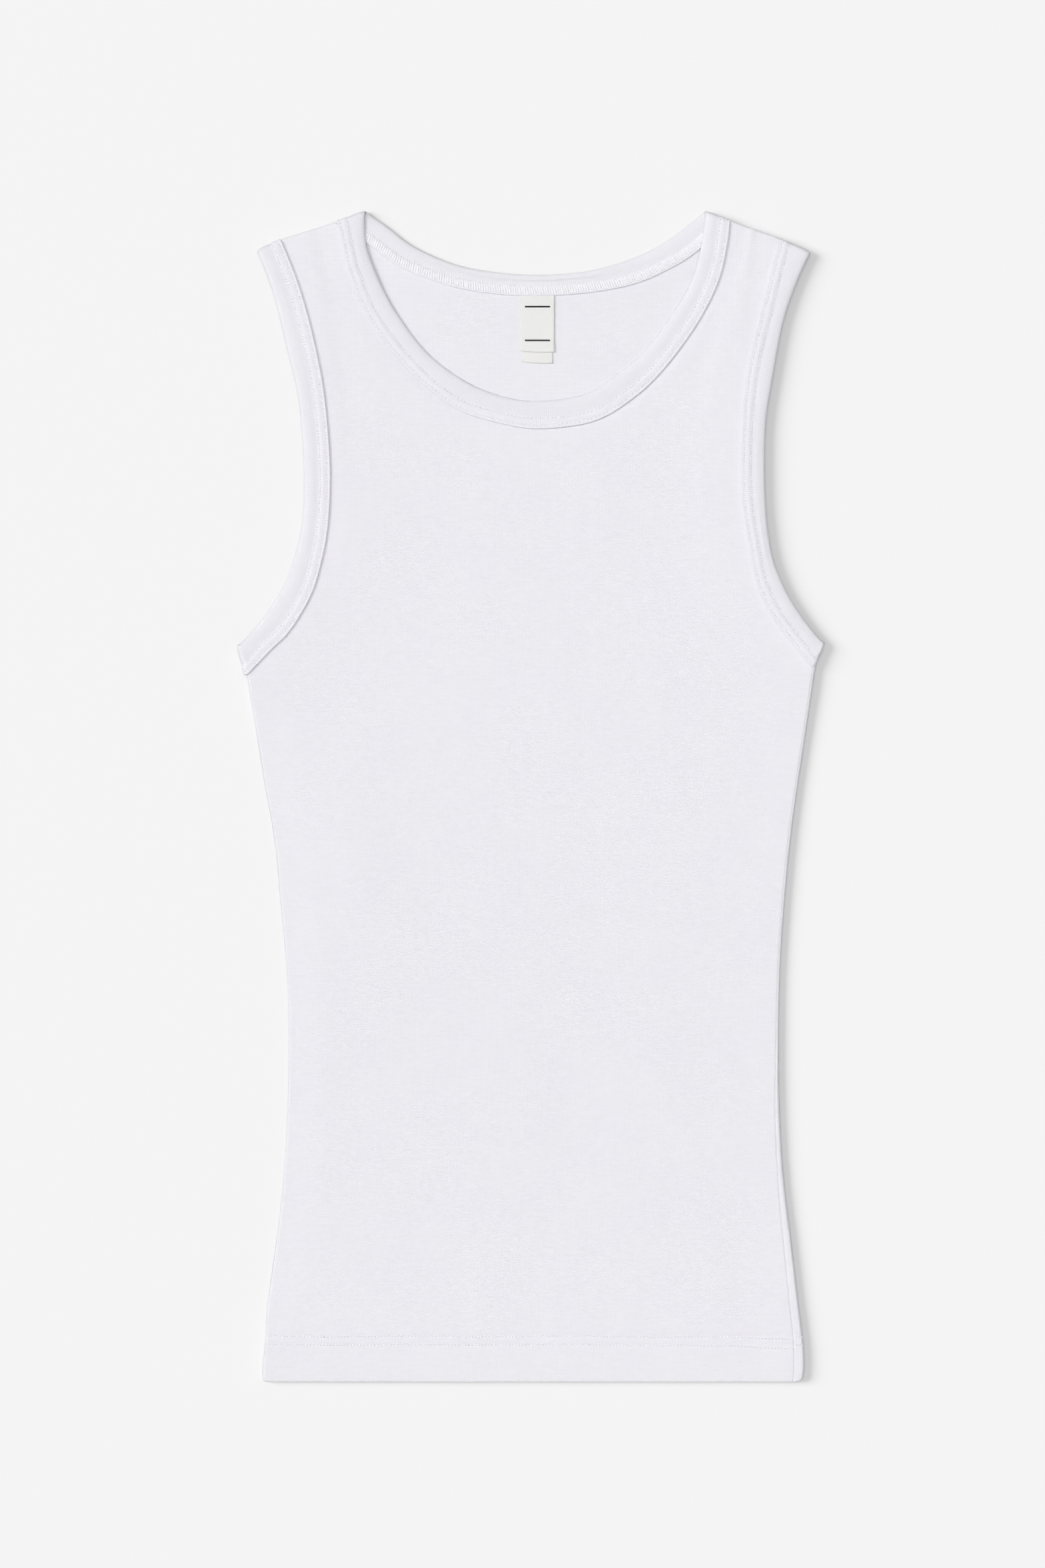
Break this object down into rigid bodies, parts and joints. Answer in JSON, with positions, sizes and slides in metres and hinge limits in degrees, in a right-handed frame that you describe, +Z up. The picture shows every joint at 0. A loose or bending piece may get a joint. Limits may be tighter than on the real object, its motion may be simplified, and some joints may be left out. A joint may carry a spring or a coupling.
{
  "type": "tank top",
  "caption": "Sleeveless rib-knit tank top with a scoop neck, bound armholes and a turned-up hem, lying flat with its front up.",
  "frame": {"origin": "on the surface the garment lies on, under the middle of its outline", "axes": "+Z up, from the back panel to the front panel; +Y from the hem to the shoulders; +X across the chest, to the right of someone who looks at the front"},
  "size_m": [0.3164, 0.6326, 0.0079],
  "materials": {
    "body_rib": "fine cotton rib knit, cool white, matt",
    "binding_rib": "fine cotton rib knit, cool white, ribs across the strip",
    "label_cloth": "woven label tape, warm white"
  },
  "bodies": {
    "root": {"front_panel": "body_rib", "back_panel": "body_rib", "neck_binding": "binding_rib", "armhole_binding_left": "binding_rib", "armhole_binding_right": "binding_rib", "neck_label": "label_cloth", "size_label": "label_cloth"}
  },
  "joints": []
}
